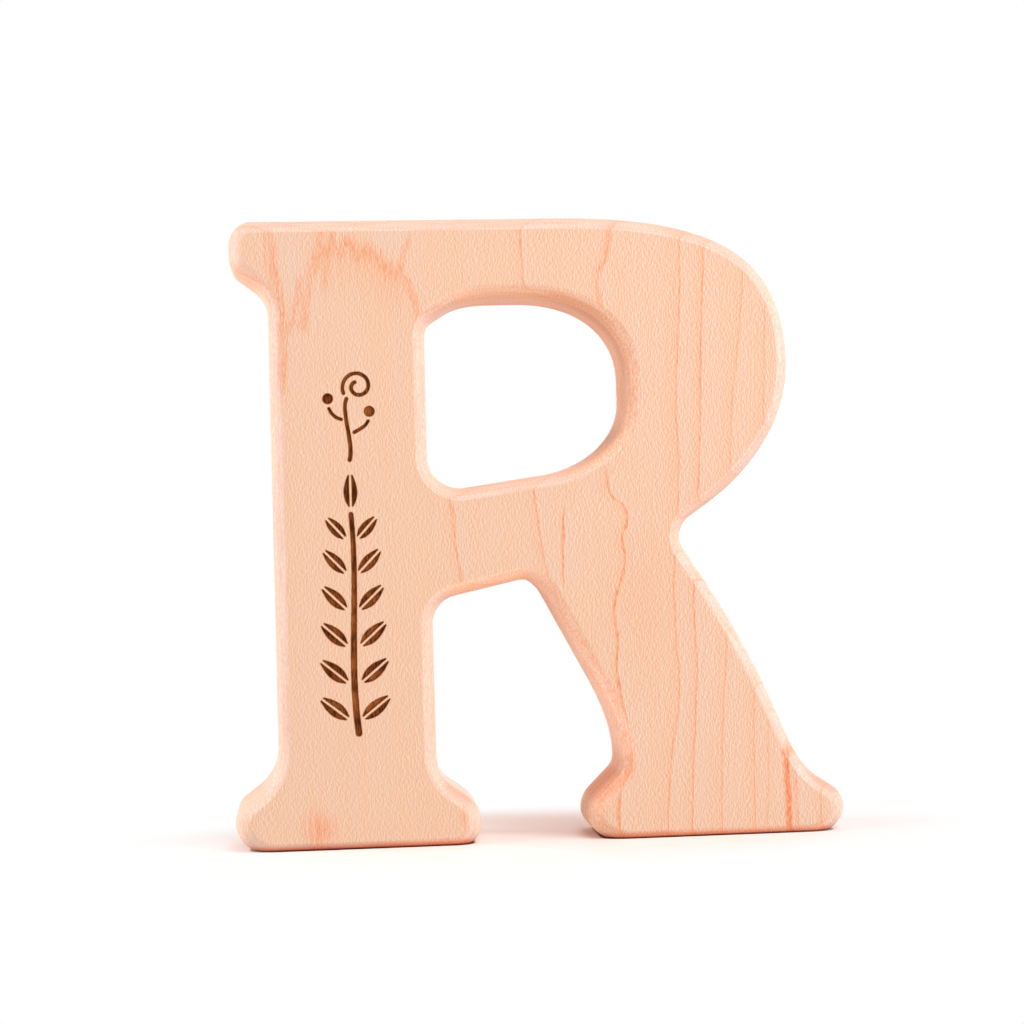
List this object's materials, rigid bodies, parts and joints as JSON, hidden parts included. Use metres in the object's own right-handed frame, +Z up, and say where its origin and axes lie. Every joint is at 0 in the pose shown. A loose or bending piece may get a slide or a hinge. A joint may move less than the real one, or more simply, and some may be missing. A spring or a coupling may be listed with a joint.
{
  "type": "teether",
  "caption": "Solid wooden teether cut as a slab-serif capital letter, with rounded edges, a window through its bowl and flat feet to stand on.",
  "frame": {"origin": "on the floor, midway along the letter's width and midway through the board's thickness", "axes": "+X along the letter from its stem towards its leg, +Y from its front face to its back face, +Z up"},
  "size_m": [0.112, 0.019, 0.114],
  "materials": {
    "maple": "sanded smooth, oiled, satin"
  },
  "bodies": {
    "root": {"letter_body": "maple"}
  },
  "joints": []
}
